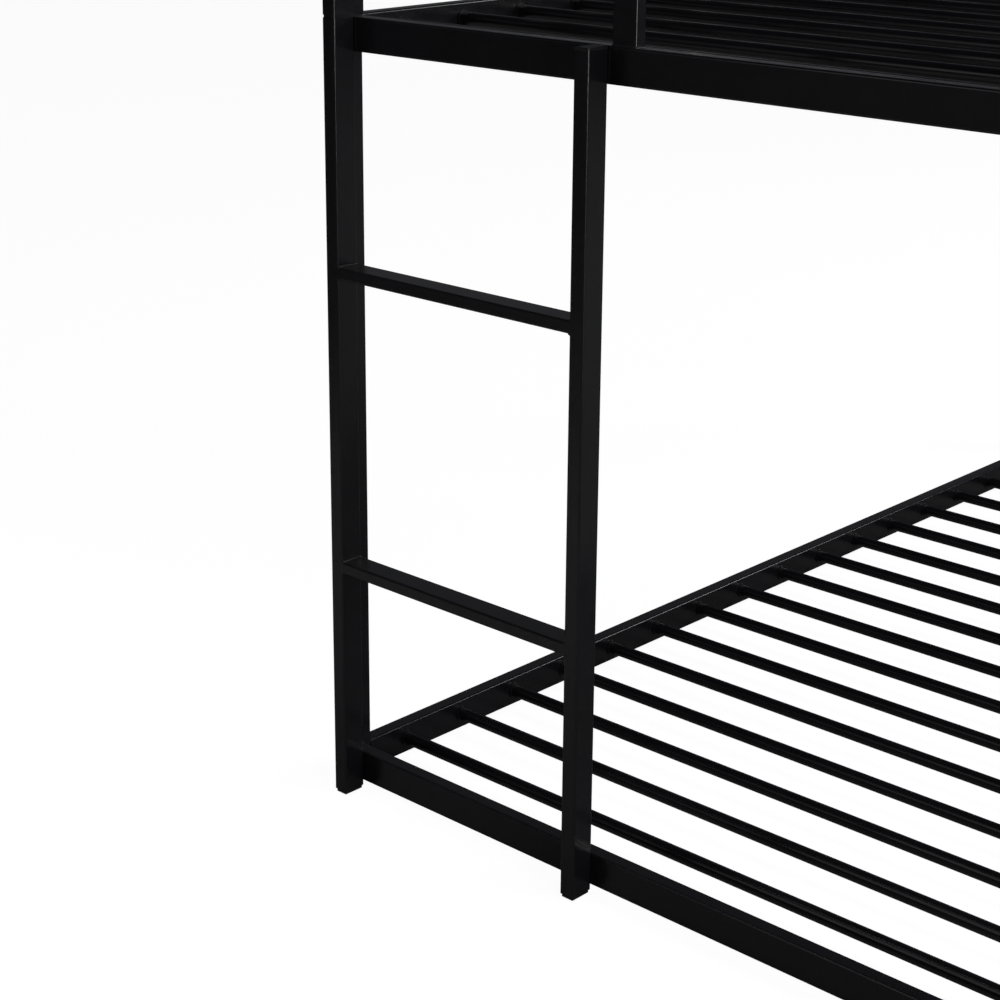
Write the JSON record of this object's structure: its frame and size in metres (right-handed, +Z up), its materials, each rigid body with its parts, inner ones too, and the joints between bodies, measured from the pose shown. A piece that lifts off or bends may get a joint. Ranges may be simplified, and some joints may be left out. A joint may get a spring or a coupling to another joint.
{
  "type": "bunk bed with ladder",
  "caption": "Low metal bunk bed of square and round tube, with slatted lower and upper decks, a ladder built into the foot end, and guard bars round the upper deck.",
  "frame": {"origin": "on the floor, under the middle of the bed's outline", "axes": "+Z up; the foot end with the ladder faces -Y and the head end faces +Y; seen from the foot end, +X is to the right and the ladder is at the left"},
  "size_m": [1.0556, 1.9994, 1.255],
  "materials": {
    "frame_coat": "satin black powder coat with a fine texture",
    "slat_coat": "satin black powder coat with a fine texture",
    "cap_plastic": "moulded black, fine grain",
    "bush_plastic": "moulded black, semi-gloss",
    "bolt_steel": "black oxide",
    "bare_steel": "plain zinc-plated steel, hidden in the tubes"
  },
  "bodies": {
    "root": {"foot_left_post": "frame_coat", "foot_right_post": "frame_coat", "head_left_post": "frame_coat", "head_right_post": "frame_coat", "foot_left_upper_post": "frame_coat", "foot_right_upper_post": "frame_coat", "head_left_upper_post": "frame_coat", "head_right_upper_post": "frame_coat", "ladder_left_stile": "frame_coat", "ladder_right_stile": "frame_coat", "ladder_lower_rung": "frame_coat", "ladder_upper_rung": "frame_coat", "ladder_grab_post": "frame_coat", "lower_foot_rail": "frame_coat", "lower_head_rail": "frame_coat", "lower_left_rail": "frame_coat", "lower_right_rail": "frame_coat", "upper_foot_rail": "frame_coat", "upper_head_rail": "frame_coat", "upper_left_rail": "frame_coat", "upper_right_rail": "frame_coat", "lower_slats": "slat_coat", "upper_slats": "slat_coat", "lower_slat_bushes": "bush_plastic", "upper_slat_bushes": "bush_plastic", "foot_guard_post": "frame_coat", "foot_guard_top_bar": "frame_coat", "foot_guard_mid_bar": "frame_coat", "head_guard_post": "frame_coat", "head_guard_top_bar": "frame_coat", "head_guard_mid_bars": "frame_coat", "left_guard_top_bar": "frame_coat", "left_guard_mid_bars": "frame_coat", "left_guard_foot_post": "frame_coat", "left_guard_head_post": "frame_coat", "right_guard_top_bar": "frame_coat", "right_guard_mid_bars": "frame_coat", "right_guard_foot_post": "frame_coat", "right_guard_head_post": "frame_coat", "rail_tongues": "bare_steel", "rail_bolts": "bolt_steel", "post_spigots": "frame_coat", "post_bolts": "bolt_steel", "grab_post_spigot": "frame_coat", "ladder_bolts": "bolt_steel", "ladder_nuts": "bare_steel", "guard_plugs": "cap_plastic", "guard_bolts": "bolt_steel", "foot_left_foot_cap": "cap_plastic", "foot_right_foot_cap": "cap_plastic", "head_left_foot_cap": "cap_plastic", "head_right_foot_cap": "cap_plastic", "ladder_left_foot_cap": "cap_plastic", "ladder_right_foot_cap": "cap_plastic", "post_top_caps": "cap_plastic", "ladder_right_top_cap": "cap_plastic", "grab_post_cap": "cap_plastic", "guard_post_cap": "cap_plastic"}
  },
  "joints": []
}
